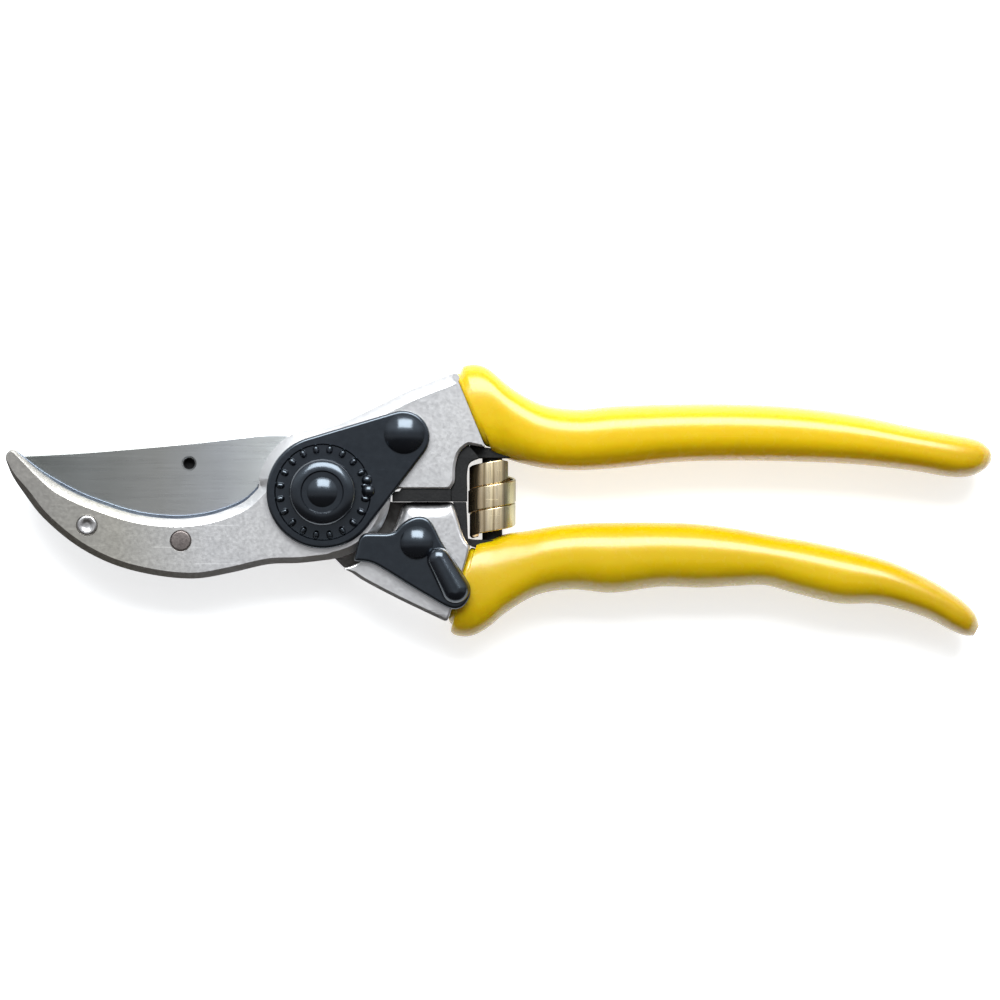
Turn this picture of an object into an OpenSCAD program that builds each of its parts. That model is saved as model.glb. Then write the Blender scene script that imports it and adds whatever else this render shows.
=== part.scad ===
// Bypass pruning shears with forged handles, a toothed pivot nut, a volute spring and a thumb catch.
// They lie flat, closed and locked. X runs from the pivot to the handle ends, and the jaws point to -X.
// Z is up from the table. The origin is on the pivot axis, on the flat rear face of the pivot bolt.

/* [Pivot] */
// Radius of the pivot bolt's shank
bolt_r = 5; // [4.6:0.1:5]
// Radius of the pivot bolt's flat head
bolt_head_r = 8; // [7:0.5:9]
// Thickness of the pivot bolt's flat head
bolt_head_t = 2.4; // [2:0.1:2.8]
// Radius of the upper handle's round head
upper_head_r = 14.3; // [13.8:0.1:14.6]
// Radius of the lower handle's round head
lower_head_r = 13.8; // [13:0.1:14.2]
// Radial clearance of a running fit
running_gap = 0.05; // [0.02:0.01:0.1]
// Gap between faces that slide on each other
side_gap = 0.05; // [0.02:0.01:0.1]

/* [Layers] */
// Thickness of the lower handle's round head
lower_head_t = 4; // [3.5:0.1:4.5]
// Thickness of the cutting blade
blade_t = 3.1; // [2.6:0.1:3.3]
// Thickness of the counter-blade
counter_t = 1.8; // [1.4:0.1:2.2]
// Height of the handles' front faces above the table
front_z = 15; // [14.8:0.1:15.2]

/* [Nut and segment] */
// Number of teeth on the pivot nut
nut_teeth = 20; // [16:1:24]
// Radius over the teeth of the pivot nut
nut_r = 10.3; // [10:0.1:10.4]
// Radius of the nut's raised boss
boss_r = 7.2; // [6.8:0.1:7.6]
// Height of the nut's boss above the handle
boss_h = 6.2; // [5:0.1:7]
// Radius of one tooth's round end
tooth_r = 1; // [0.8:0.1:1.2]
// Outer radius of the locking segment around the nut
segment_r = 12.3; // [12:0.1:12.4]
// Radius of the locking segment's outer end
segment_end_r = 5.8; // [5.4:0.1:6]
// Thickness of the locking segment
segment_t = 2; // [1.6:0.1:2.2]

/* [Catch] */
// Thickness of the thumb catch's plate
catch_t = 1.8; // [1.5:0.1:2.2]
// Height of the spring washer under the catch
washer_t = 0.4; // [0.3:0.1:0.5]
// Radius of the catch rivet's shank
catch_rivet_r = 2; // [1.8:0.1:2.2]

/* [Grips] */
// Half of a grip's thickness in the middle of its length
grip_half = 8.5; // [8:0.1:8.7]
// Half of a grip's thickness at its front lip
grip_lip_half = 6.6; // [6.2:0.1:6.6]
// Wall left between a grip's edge and the metal tang inside it
grip_wall = 3; // [2.5:0.1:3.5]
// Half of the tang's thickness
tang_half = 4; // [3:0.1:4.2]

/* [Spring] */
// Turns in the volute spring
spring_turns = 2.5; // [2:0.1:2.5]
// Radius of its widest turn, to the outside
spring_r = 5.3; // [4.6:0.1:5.4]
// Radius of its end turns, to the outside
spring_end_r = 4.9; // [3.7:0.1:5]
// Width of the spring strip
strip_w = 5; // [4.4:0.1:5]
// Thickness of the spring strip
strip_t = 0.7; // [0.5:0.1:0.8]

/* [Hidden] */
$fn = 96;

// Layer heights, from the table up
rear_z = bolt_head_t + side_gap;
lower_top = rear_z + lower_head_t;
blade_top = lower_top + blade_t;
shear_z = blade_top + side_gap;
carrier_z = shear_z + counter_t;
mid_z = 8.5;
segment_top = front_z + segment_t;
catch_z = front_z + washer_t;
catch_top = catch_z + catch_t;
cut = 0.5;

// Clear radii between the two handles' thick parts and the other handle's round head
lower_clear_r = 17.2;
upper_clear_r = 16.5;

// Places of the fastenings
segment_end = [17.4, 12];
screw_at = [17.7, 12.7];
screw_r = 1.6;
screw_head_r = 4.4;
catch_at = [20.4, -11];
catch_head_r = 3.6;
front_rivet_at = [-51.4, -7.2];
rear_rivet_at = [-31, -10.6];
rivet_r = 1.6;
rivet_head_r = 2.2;
rivet_head_t = 0.6;
pin_at = [-8, -6.5];
pin_r = 1.5;
hole_at = [-29.5, 6.3];
hole_r = 1.2;
hole_t = 2.5;
countersink_r = 2;
countersink_t = 0.5;
bevel_w = 2;
spring_at = 36.8;
spring_top = 7.4;
spring_bottom = -10.4;
seat_low_z = 3;
seat_high_z = 14;
stud_r = 2.2;
spring_start = 45;

// Edges of the hook, from the beak to the round head
cutting_edge = [[-69, 8.3], [-67.6, 9.3], [-65.7, 8], [-61.5, 4.8], [-57.2, 2.2], [-52.9, 0],
    [-48.5, -1.7], [-43.1, -3.5], [-37.7, -4.6], [-31.5, -5], [-25.8, -4.4], [-21.5, -3.2],
    [-17.1, -1.2], [-13.6, 2.2]];
hook_lower = [[-69.1, 7.2], [-67.6, 3.5], [-65, -0.4], [-61, -5.5], [-54, -11.4], [-46, -15.6],
    [-37, -18], [-28, -18.8], [-20, -17.5], [-12, -15.7], [-5, -15.4], [2, -14.1]];

// The counter-blade's hidden edge behind the hook, with one point for each point of the cutting edge
counter_rear = [[-69.1, 7.2], [-68.4, 5.6], [-67.2, 3.8], [-64.4, 0.3], [-60.4, -4.6], [-55.2, -8.9],
    [-49.6, -12.2], [-43.6, -14.7], [-37.8, -16.3], [-31, -17], [-24.6, -16.9], [-19.4, -15.6],
    [-14.6, -13], [-11.4, -7.6]];

// Edges of the blade from the tip: the spine, and the ground edge with one point for each of its points
spine = [[-65.8, 7.9], [-59.5, 8.2], [-51.5, 8.7], [-43, 9.4], [-34, 10.2], [-26, 11], [-18, 11.9],
    [-11, 12.6], [-5, 12.2]];
ground_edge = [[-65.9, 7.6], [-60, 3.2], [-52, -1.9], [-43, -5.8], [-34, -8.2], [-26, -9], [-18, -8.8],
    [-13.5, -8.4], [-10, -8.4]];
blade_bevel = 6.5;
blade_tang_r = 13.2;

// Outer edge of the upper neck, then its recess for the spring
upper_neck_top = [[-5.2, 13.2], [1.7, 14.3], [5.2, 15.6], [12.1, 18.9], [19.1, 22.3], [28.6, 26]];
upper_recess = [[31.6, 10.4], [29.7, 8.7], [28.8, 5.8], [28.6, 2.4], [27.7, 0.8]];
lower_neck_low = [[27, -28.3], [16.5, -23.3], [8.7, -19.2], [6.1, -17.4], [4.3, -16.7]];
lower_recess = [[28.2, -2.1], [28.8, -3.6], [29.6, -6.4], [30.8, -10], [32.1, -11.7]];

// Grip stations: the edge on the outside of the shears, the edge on the inside, the half thickness
upper_stations = [
    [[28.6, 26], [35.3, 9.8], grip_lip_half],
    [[31.2, 28], [37.5, 8.1], grip_lip_half],
    [[35.5, 27.3], [39.9, 7.3], grip_lip_half],
    [[41.4, 22.6], [43.6, 6.2], 7.1],
    [[47.9, 19.2], [48.6, 5.2], 7.8],
    [[55.5, 18.2], [55.5, 4.8], 8.2],
    [[64.1, 18.9], [64.1, 5.3], grip_half],
    [[77.1, 19.3], [77.1, 6.6], grip_half],
    [[90.1, 19.3], [90.1, 6.9], grip_half],
    [[103.1, 18.6], [103.1, 6.7], grip_half],
    [[116.2, 16.9], [116, 6.1], 8.3],
    [[129.2, 14.2], [128.1, 4.8], 7.9],
    [[137.8, 12.6], [136.7, 3.4], 7.2],
    [[142.9, 11.4], [141.2, 3.5], 6],
    [[145.4, 9.6], [144.2, 4.8], 3.8],
    [[146.1, 8], [145.7, 6.3], 1.4]];
lower_stations = [
    [[27, -28.3], [32.1, -11.7], grip_lip_half],
    [[28.2, -31.2], [34.2, -10.6], grip_lip_half],
    [[31.8, -31.8], [37, -9.9], grip_lip_half],
    [[35.6, -29.8], [40.2, -9], 6.8],
    [[40.3, -26], [44.4, -8.4], 7.2],
    [[46.8, -22.4], [50.1, -7.4], 7.8],
    [[54.4, -21.3], [56.6, -6.8], 8.2],
    [[63.1, -22], [64.1, -6.6], grip_half],
    [[73.6, -20.7], [72.8, -6.6], grip_half],
    [[82.6, -20.9], [81.5, -6.9], grip_half],
    [[90.2, -20.5], [90.4, -8], grip_half],
    [[96.6, -20.4], [98, -9.4], 8.4],
    [[103.4, -22.2], [105.8, -10.7], 8.3],
    [[112.4, -24.3], [114.6, -12.6], 8.2],
    [[120.4, -24.4], [122.8, -14.8], 8],
    [[126.6, -25.7], [129.2, -17.4], 7.6],
    [[132.4, -27.7], [134.9, -20.4], 7],
    [[137, -30.1], [139.5, -23.5], 6],
    [[140, -31.3], [142.3, -26.4], 4.4],
    [[142, -31.4], [143.3, -29], 1.6]];
ring_sides = 20;
ring_steps = 2;
squareness = 2.4;

// A smooth curve through the points p, with n steps between each two
function blend(a, b, c, d, t) =
    0.5 * (2 * b + (c - a) * t + (2 * a - 5 * b + 4 * c - d) * t * t + (3 * b - a - 3 * c + d) * t * t * t);
function smooth(p, n) = [
    for (i = [0 : len(p) - 2]) for (s = [0 : n - 1])
        blend(p[max(i - 1, 0)], p[i], p[i + 1], p[min(i + 2, len(p) - 1)], s / n),
    p[len(p) - 1]];
function reversed(p) = [for (i = [len(p) - 1 : -1 : 0]) p[i]];
function arc(r, from, to, n) = [
    for (i = [0 : n]) let (a = from + (to - from) * i / n)
        r * [cos(a), sin(a)]];
function power(v, e) = sign(v) * pow(abs(v), e);

// A closed skin over rings that all have the same number of points
module skin(rings) {
    n = len(rings[0]);
    last = len(rings) - 1;
    points = [for (r = rings) each r];
    sides = [for (i = [0 : last - 1]) for (k = [0 : n - 1])
        let (a = i * n + k, b = i * n + (k + 1) % n) each [[a, a + n, b], [b, a + n, b + n]]];
    caps = [[for (k = [0 : n - 1]) k], [for (k = [n - 1 : -1 : 0]) last * n + k]];
    polyhedron(points, concat(sides, caps));
}

// A hole or peg along Z at a place in the plane
module round_at(place, r, from, to) {
    translate([place[0], place[1], from])
        cylinder(r = r, h = to - from);
}

module slab(points, from, to) {
    translate([0, 0, from])
        linear_extrude(to - from)
            polygon(points);
}

// A low dome on a flat base, as a screw or rivet head has
module dome(place, r, from, h) {
    ball_r = (r * r + h * h) / (2 * h);
    translate([place[0], place[1], from])
        rotate_extrude()
            polygon(concat([[0, 0]], [for (i = [0 : 8])
                let (a = asin(r / ball_r) * (1 - i / 8)) [ball_r * sin(a), ball_r * cos(a) - ball_r + h]]));
}

// One ring of a grip, in the plane of its station and the vertical
function grip_ring(s) = let (centre = (s[0] + s[1]) / 2, half = (s[0] - s[1]) / 2) [
    for (k = [0 : ring_sides - 1]) let (a = 360 * (k + 0.5) / ring_sides,
        u = power(cos(a), 2 / squareness), v = power(sin(a), 2 / squareness))
        [centre[0] + half[0] * u, centre[1] + half[1] * u, mid_z + s[2] * v]];
function outer_edge(s) = smooth([for (t = s) t[0]], ring_steps);
function inner_edge(s) = smooth([for (t = s) t[1]], ring_steps);
function half_thickness(s) = smooth([for (t = s) t[2]], ring_steps);

module grip_body(stations, turn) {
    o = outer_edge(stations);
    i = inner_edge(stations);
    h = half_thickness(stations);
    rings = [for (k = [0 : len(o) - 1]) grip_ring([o[k], i[k], h[k]])];
    skin(turn ? reversed(rings) : rings);
}

// The metal tang runs inside the grip and stops short of its end
module tang(stations, first, last) {
    inward = [for (k = [first : last]) stations[k][1] - stations[k][0]];
    outside = [for (k = [first : last]) let (d = inward[k - first])
        stations[k][0] + grip_wall * d / norm(d)];
    inside = [for (k = [first : last]) let (d = inward[k - first])
        stations[k][1] - grip_wall * d / norm(d)];
    slab(concat(smooth(outside, 2), reversed(smooth(inside, 2))), mid_z - tang_half, mid_z + tang_half);
}

module upper_tang() {
    tang(upper_stations, 0, 12);
}

module lower_tang() {
    tang(lower_stations, 0, 16);
}

// Room for the spring between the grips' front ends
module spring_pocket(from, to) {
    translate([31, from, seat_low_z])
        cube([11, to - from, seat_high_z - seat_low_z]);
}

// The hook's carrier stands back from the cutting edge by the bevel
function carrier_edge() = let (n = len(cutting_edge)) [for (i = [0 : n - 1])
    cutting_edge[i] - [0, bevel_w * min(1, max(0, i - 1) / 3) * min(1, (n - 1 - i) / 2)]];

module rivet_holes() {
    for (place = [front_rivet_at, rear_rivet_at]) {
        round_at(place, rivet_r, shear_z - cut, front_z + cut);
        round_at(place, rivet_head_r, front_z - rivet_head_t, front_z + cut);
    }
}

module upper_frame() {
    color("gainsboro")
        difference() {
            union() {
                round_at([0, 0], upper_head_r, shear_z, front_z);
                slab(concat(smooth(hook_lower, 3), [[4, -8], [0, 4]], reversed(smooth(carrier_edge(), 2))),
                    carrier_z, front_z);
                difference() {
                    slab(concat(smooth(upper_neck_top, 3), [upper_stations[0][1]], smooth(upper_recess, 2),
                        [[upper_clear_r, 0.8], [10, 0], [-4, 4]]), rear_z, front_z);
                    round_at([0, 0], upper_clear_r, rear_z - cut, shear_z);
                }
                upper_tang();
            }
            round_at([0, 0], bolt_r, shear_z - cut, front_z + cut);
            round_at(screw_at, screw_r, rear_z + 4, front_z + cut);
            rivet_holes();
            cushion_stem();
        }
}

// A plate between a rear edge and a front edge that differs between its two faces
module bevelled_plate(rear, low_edge, high_edge, from, to) {
    skin([for (i = [0 : len(rear) - 1]) [
        [rear[i][0], rear[i][1], from],
        [rear[i][0], rear[i][1], to],
        [high_edge[i][0], high_edge[i][1], to],
        [low_edge[i][0], low_edge[i][1], from]]]);
}

module counter_blade() {
    color("lightgray")
        difference() {
            bevelled_plate(reversed(smooth(counter_rear, 2)), reversed(smooth(cutting_edge, 2)),
                reversed(smooth(carrier_edge(), 2)), shear_z, carrier_z);
            round_at([0, 0], upper_head_r, shear_z - cut, carrier_z + cut);
            rivet_holes();
        }
}

module rivet(place) {
    round_at(place, rivet_r, shear_z, front_z - rivet_head_t);
    round_at(place, rivet_head_r, front_z - rivet_head_t, front_z);
    dome(place, rivet_head_r, front_z, 0.3);
}

module front_rivet() {
    color("silver")
        rivet(front_rivet_at);
}

module rear_rivet() {
    color("dimgray")
        rivet(rear_rivet_at);
}

module pivot_bolt() {
    color("dimgray") {
        rotate_extrude()
            polygon([[0, 0], [bolt_head_r - 0.5, 0], [bolt_head_r, 0.5], [bolt_head_r, bolt_head_t],
                [0, bolt_head_t]]);
        round_at([0, 0], bolt_r, bolt_head_t, front_z + boss_h - 1);
        dome([0, 0], bolt_r, front_z + boss_h - 1, 1.6);
    }
}

module pivot_nut() {
    color("#1c1e20")
        difference() {
            union() {
                round_at([0, 0], nut_r - tooth_r, front_z, segment_top + 0.3);
                for (k = [0 : nut_teeth - 1])
                    rotate(360 * k / nut_teeth)
                        round_at([nut_r - tooth_r, 0], tooth_r, front_z, segment_top + 0.3);
                translate([0, 0, front_z])
                    rotate_extrude()
                        polygon([[0, 0], [boss_r, 0], [boss_r, boss_h - 1],
                            [boss_r - 1, boss_h], [0, boss_h]]);
            }
            round_at([0, 0], bolt_r, front_z - cut, front_z + boss_h + cut);
        }
}

// The straight flanks of the segment touch both of its round ends
function flank(side) = let (d = norm(segment_end), lean = acos((segment_r - segment_end_r) / d),
    a = atan2(segment_end[1], segment_end[0]) + side * lean) [cos(a), sin(a)];

module segment_plate() {
    lock_a = 2.5 * 360 / nut_teeth;
    color("#16181a")
        difference() {
            union() {
                difference() {
                    union() {
                        round_at([0, 0], segment_r, front_z, segment_top);
                        round_at(segment_end, segment_end_r, front_z, segment_top);
                        slab([segment_r * flank(1), segment_r * flank(-1),
                            segment_end + segment_end_r * flank(-1),
                            segment_end + segment_end_r * flank(1)],
                            front_z, segment_top);
                    }
                    round_at([0, 0], nut_r + 0.2, front_z - cut, segment_top + cut);
                }
                rotate(lock_a)
                    translate([nut_r - 0.2, -0.5, front_z])
                        cube([1, 1, segment_t]);
            }
            round_at(screw_at, screw_r, front_z - cut, segment_top + cut);
        }
}

module segment_screw() {
    color("#202225") {
        round_at(screw_at, screw_r, rear_z + 4, segment_top);
        dome(screw_at, screw_head_r, segment_top, 2);
    }
}

// The cushion's stem, pressed into the upper handle
module cushion_stem() {
    translate([22.5, 0.8, mid_z])
        rotate([-90, 0, 0])
            cylinder(r = 1.5, h = 4);
}

module cushion() {
    color("#1a1a1a") {
        slab([[15.6, -2], [27.6, -2], [27.6, 0.8], [17, 0.8], [16.7, 0.2], [15.6, 0.2]],
            seat_low_z, seat_high_z + 0.6);
        cushion_stem();
    }
}

// A stud that centres the spring's end turn
module stud(from, to) {
    translate([spring_at, from, mid_z])
        rotate([-90, 0, 0])
            cylinder(r = stud_r, h = to - from);
}

module upper_seat_shape() {
    slab(concat([[31, -1.9], [27.8, -1.9]], reversed(smooth(upper_recess, 2)),
        [[35.3, 9.8], [40.8, 9], [40.8, spring_top]],
        smooth([[34, spring_top], [31.9, 6.4], [31.2, 4.2], [31.2, 0.8]], 2)), seat_low_z, seat_high_z);
}

module lower_seat_shape() {
    slab(concat(smooth(lower_recess, 2), [[34.2, -12.4], [40.8, -12], [40.8, spring_bottom]],
        smooth([[31.4, spring_bottom], [31.3, -8.8], [31.2, -6], [30.8, -2.1]], 2)),
        seat_low_z, seat_high_z);
}

module upper_spring_seat() {
    color("#191919") {
        upper_seat_shape();
        stud(spring_top - 3.4, spring_top + 0.2);
    }
}

module lower_spring_seat() {
    color("#191919") {
        lower_seat_shape();
        stud(spring_bottom - 0.2, spring_bottom + 3.4);
    }
}

// A strip wound outward to the middle of the spring and inward again
function strip_ring(t) = let (
    a = spring_start + 360 * spring_turns * t,
    r = spring_r - (spring_r - spring_end_r) * abs(2 * t - 1),
    y = spring_top - strip_w / 2 - t * (spring_top - spring_bottom - strip_w), h = strip_w / 2) [
    for (c = [[r, h], [r, -h], [r - strip_t, -h], [r - strip_t, h]])
        [spring_at + c[0] * cos(a), y + c[1], mid_z + c[0] * sin(a)]];

module spring() {
    steps = 24 * spring_turns;
    color("#c9a24b")
        skin([for (i = [0 : steps]) strip_ring(i / steps)]);
}

module upper_grip() {
    color("#f2e21c")
        difference() {
            grip_body(upper_stations, true);
            upper_tang();
            upper_seat_shape();
            spring_pocket(0, spring_top);
        }
}

module lower_grip() {
    color("#f2e21c")
        difference() {
            grip_body(lower_stations, false);
            lower_tang();
            lower_seat_shape();
            spring_pocket(spring_bottom, 0);
        }
}

module lower_frame() {
    color("gainsboro")
        difference() {
            union() {
                round_at([0, 0], lower_head_r, rear_z, lower_top);
                difference() {
                    slab(concat([[-4, -8], [5, 0], [15, -2.1]],
                            smooth(lower_recess, 2), smooth(lower_neck_low, 2)),
                        rear_z, front_z);
                    round_at([0, 0], lower_clear_r, lower_top, front_z + cut);
                }
                lower_tang();
            }
            round_at([0, 0], bolt_r + running_gap, rear_z - cut, lower_top + cut);
            round_at(pin_at, pin_r, rear_z - cut, lower_top + cut);
            round_at(catch_at, catch_rivet_r, mid_z, front_z + cut);
            lower_seat_shape();
        }
}

// The ground side of the blade faces the table, and its flat side meets the counter-blade
module cutting_blade() {
    top = smooth(spine, 2);
    edge = smooth(ground_edge, 2);
    low = [for (i = [0 : len(edge) - 1]) let (across = top[i] - edge[i])
        edge[i] + across * min(0.8, blade_bevel / norm(across))];
    color("#9a9894")
        difference() {
            union() {
                bevelled_plate(top, low, edge, lower_top, blade_top);
                round_at([0, 0], blade_tang_r, lower_top, blade_top);
            }
            round_at([0, 0], bolt_r + running_gap, lower_top - cut, blade_top + cut);
            round_at(pin_at, pin_r, lower_top - cut, blade_top + cut);
            round_at(hole_at, hole_r, blade_top - hole_t, blade_top + cut);
            translate([hole_at[0], hole_at[1], blade_top - countersink_t])
                cylinder(r1 = hole_r, r2 = countersink_r, h = countersink_t + 0.01);
        }
}

module blade_pin() {
    color("silver")
        round_at(pin_at, pin_r, rear_z, blade_top);
}

module catch_rivet() {
    color("#1e2023") {
        round_at(catch_at, catch_rivet_r, mid_z, catch_top + side_gap);
        dome(catch_at, catch_head_r, catch_top + side_gap, 1.7);
    }
}

module catch_washer() {
    color("silver")
        difference() {
            round_at(catch_at, 3.4, front_z, catch_z - side_gap);
            round_at(catch_at, catch_rivet_r, front_z - cut, catch_z + cut);
        }
}

catch_top_edge = [[8, -8.9], [11.5, -8.9], [15.2, -8.7], [17.4, -6.6], [20.6, -5.2], [23.4, -6.2],
    [26, -11], [29.4, -16], [32.1, -20.3]];
catch_low_edge = [[32.1, -22.6], [30.4, -25], [27.6, -25.3], [23, -22.8], [18.6, -20.2], [13.8, -17.2],
    [10.4, -15.4], [6.6, -15]];

module thumb_catch() {
    color("#17191c")
        difference() {
            union() {
                slab(concat(smooth(catch_top_edge, 2), smooth(catch_low_edge, 2)), catch_z, catch_top);
                hull() {
                    translate([25.2, -14.6, catch_top])
                        scale([1, 1, 0.8])
                            sphere(r = 2.4, $fn = 24);
                    translate([28.9, -21.2, catch_top])
                        scale([1, 1, 0.8])
                            sphere(r = 3.1, $fn = 24);
                }
            }
            round_at(catch_at, catch_rivet_r + running_gap, catch_z - cut, catch_top + cut);
            round_at([0, 0], segment_r + 0.3, catch_z - cut, catch_top + cut);
            translate([0, -40, catch_z - 5])
                cube([50, 50, 5]);
        }
}

upper_frame();
upper_grip();
counter_blade();
front_rivet();
rear_rivet();
pivot_bolt();
pivot_nut();
segment_plate();
segment_screw();
cushion();
upper_spring_seat();
spring();
lower_frame();
lower_grip();
cutting_blade();
blade_pin();
lower_spring_seat();
catch_rivet();
catch_washer();
thumb_catch();
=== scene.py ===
"""Bypass pruning shears, closed and lying flat: the finished pieces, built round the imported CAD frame.

Sizes here are millimetres in the frame's own axes, and become metres when a mesh is made.
"""

import math

import bmesh
import bpy
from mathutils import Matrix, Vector, geometry


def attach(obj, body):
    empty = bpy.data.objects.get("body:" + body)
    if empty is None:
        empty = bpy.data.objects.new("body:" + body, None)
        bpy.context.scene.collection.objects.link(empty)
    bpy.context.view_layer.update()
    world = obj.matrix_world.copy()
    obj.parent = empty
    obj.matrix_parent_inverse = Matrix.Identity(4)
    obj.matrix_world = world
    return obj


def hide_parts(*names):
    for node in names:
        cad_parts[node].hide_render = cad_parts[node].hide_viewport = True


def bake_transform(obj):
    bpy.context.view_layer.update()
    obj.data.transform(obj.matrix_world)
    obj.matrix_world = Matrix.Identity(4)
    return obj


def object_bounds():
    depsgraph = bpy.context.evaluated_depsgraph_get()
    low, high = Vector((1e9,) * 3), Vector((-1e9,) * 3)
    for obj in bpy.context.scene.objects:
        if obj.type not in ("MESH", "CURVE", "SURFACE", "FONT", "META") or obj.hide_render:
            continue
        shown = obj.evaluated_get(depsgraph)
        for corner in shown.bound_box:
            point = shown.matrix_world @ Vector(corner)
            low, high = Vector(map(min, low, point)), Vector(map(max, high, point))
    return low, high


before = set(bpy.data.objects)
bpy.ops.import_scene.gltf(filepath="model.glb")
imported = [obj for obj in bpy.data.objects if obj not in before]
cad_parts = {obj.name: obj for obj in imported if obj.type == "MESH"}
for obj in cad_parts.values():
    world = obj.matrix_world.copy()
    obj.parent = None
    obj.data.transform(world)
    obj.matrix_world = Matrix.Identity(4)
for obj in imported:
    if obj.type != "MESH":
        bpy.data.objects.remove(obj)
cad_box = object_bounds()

MM = 0.001
UPPER, LOWER, CATCH = "upper_handle", "lower_handle", "catch"

# Heights of the layers, from the table up
REAR = 2.45  # rear face of both frames
SEAT_LOW = 3  # foot of the cushion and of both spring seats
LOWER_TOP = 6.45  # top of the lower arm, under the blade
MID = 8.5  # middle of the grips and of the spring
BLADE_TOP = 9.55  # the blade's face at the shearing plane
SHEAR = 9.6  # the counter-blade's face at the shearing plane
CARRIER = 11.4  # where the hook meets the counter-blade
FRONT = 15.0  # front face of both frames
CATCH_FOOT = 15.4
SEGMENT_TOP = 17.0
CATCH_TOP = 17.2
BOSS_TOP = 21.2

# Radii about the pivot
BOLT_R = 5.0
BOLT_HEAD_R = 8.0
UPPER_HEAD_R = 14.3
LOWER_HEAD_R = 13.8
UPPER_CLEAR_R = 16.5  # the upper neck stands clear of the lower head
LOWER_CLEAR_R = 17.2  # the lower neck stands clear of the upper head
SEGMENT_R = 12.3
NUT_R = 10.3
NUT_TEETH = 20
BOSS_R = 7.2
RUNNING = 0.05  # clearance of what turns on the bolt

# Places in the plane
FRONT_RIVET = (-51.4, -7.2)
REAR_RIVET = (-31.0, -10.6)
RIVET_R = 2.2
BLADE_HOLE = (-29.5, 6.3)
BLADE_HOLE_R = 1.2
CATCH_AT = (20.4, -11.0)
SEGMENT_END = (17.4, 12.0)
SEGMENT_END_R = 5.8
SCREW_AT = (17.7, 12.7)
SPRING_X = 36.8
SPRING_TOP = 7.4
SPRING_BOTTOM = -10.4

# The hook's edges, from the beak to the round head
CUTTING_EDGE = [(-69, 8.3), (-67.6, 9.3), (-65.7, 8), (-61.5, 4.8), (-57.2, 2.2), (-52.9, 0),
                (-48.5, -1.7), (-43.1, -3.5), (-37.7, -4.6), (-31.5, -5), (-25.8, -4.4),
                (-21.5, -3.2), (-17.1, -1.2), (-13.6, 2.2)]
HOOK_LOWER = [(-69.1, 7.2), (-67.6, 3.5), (-65, -0.4), (-61, -5.5), (-54, -11.4), (-46, -15.6),
              (-37, -18), (-28, -18.8), (-20, -17.5), (-12, -15.7), (-5, -15.4), (2, -14.6)]
COUNTER_REAR = [(-69.1, 7.2), (-68.4, 5.6), (-67.2, 3.8), (-64.4, 0.3), (-60.4, -4.6), (-55.2, -8.9),
                (-49.6, -12.2), (-43.6, -14.7), (-37.8, -16.3), (-31, -17), (-24.6, -16.9),
                (-19.4, -15.6), (-14.6, -13), (-11.4, -7.6)]

# The blade's spine and its ground edge, both from the tip
SPINE = [(-65.8, 7.9), (-59.5, 8.2), (-51.5, 8.7), (-43, 9.4), (-34, 10.2), (-26, 11), (-18, 11.9),
         (-11, 12.6), (-5, 12.2)]
GROUND_EDGE = [(-65.9, 7.6), (-60, 3.2), (-52, -1.9), (-43, -5.8), (-34, -8.2), (-26, -9),
               (-18, -8.8), (-13.5, -8.4), (-10, -8.4)]
BLADE_TANG_R = 13.2
BLADE_BEVEL = 6.5
BLADE_HOLE_DEPTH = 2.5

# The necks between the round heads and the grips
UPPER_NECK_TOP = [(-5.2, 13.2), (1.7, 14.3), (5.2, 15.6), (12.1, 18.9), (19.1, 22.3), (28.6, 26)]
UPPER_RECESS = [(31.6, 10.4), (29.7, 8.7), (28.8, 5.8), (28.6, 2.4), (27.7, 0.8)]
LOWER_NECK_LOW = [(27, -28.3), (16.5, -23.3), (8.7, -19.2), (6.1, -17.4), (4.3, -16.7)]
LOWER_RECESS = [(28.2, -2.1), (28.8, -3.6), (29.6, -6.4), (30.8, -10), (32.1, -11.7)]

# The catch's outline, from the nose over the hump to the tail and back
CATCH_UPPER = [(8, -8.9), (11.5, -8.9), (15.2, -8.7), (17.4, -6.6), (20.6, -5.2), (23.4, -6.2),
               (26, -11), (29.4, -16), (32.1, -20.3)]
CATCH_LOWER = [(32.1, -22.6), (30.4, -25), (27.6, -25.3), (23, -22.8), (18.6, -20.2),
               (13.8, -17.2), (10.4, -15.4), (6.6, -15)]
RIDGE = ((25.2, -14.6), 2.6, (28.8, -21.1), 3.1)
RIDGE_RISE = 0.8

# Grip stations: outer edge, inner edge, half thickness
UPPER_STATIONS = [
    ((28.6, 26), (35.3, 9.8), 6.6), ((31.2, 27.8), (37.5, 8.1), 6.6), ((35.5, 27.3), (39.9, 7.3), 6.6),
    ((41.4, 22.6), (43.6, 6.2), 7.1), ((47.9, 19.2), (48.6, 5.2), 7.8), ((55.5, 18.2), (55.5, 4.8), 8.2),
    ((64.1, 18.9), (64.1, 5.3), 8.5), ((77.1, 19.3), (77.1, 6.6), 8.5), ((90.1, 19.3), (90.1, 6.9), 8.5),
    ((103.1, 18.6), (103.1, 6.7), 8.5), ((116.2, 16.9), (116, 6.1), 8.3),
    ((129.2, 14.2), (128.1, 4.8), 7.9), ((137.8, 12.6), (136.7, 3.4), 7.2),
    ((142.9, 11.4), (141.2, 3.5), 6), ((145.4, 9.6), (144.2, 4.8), 3.8), ((146.1, 8), (145.7, 6.3), 1.4)]
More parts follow.
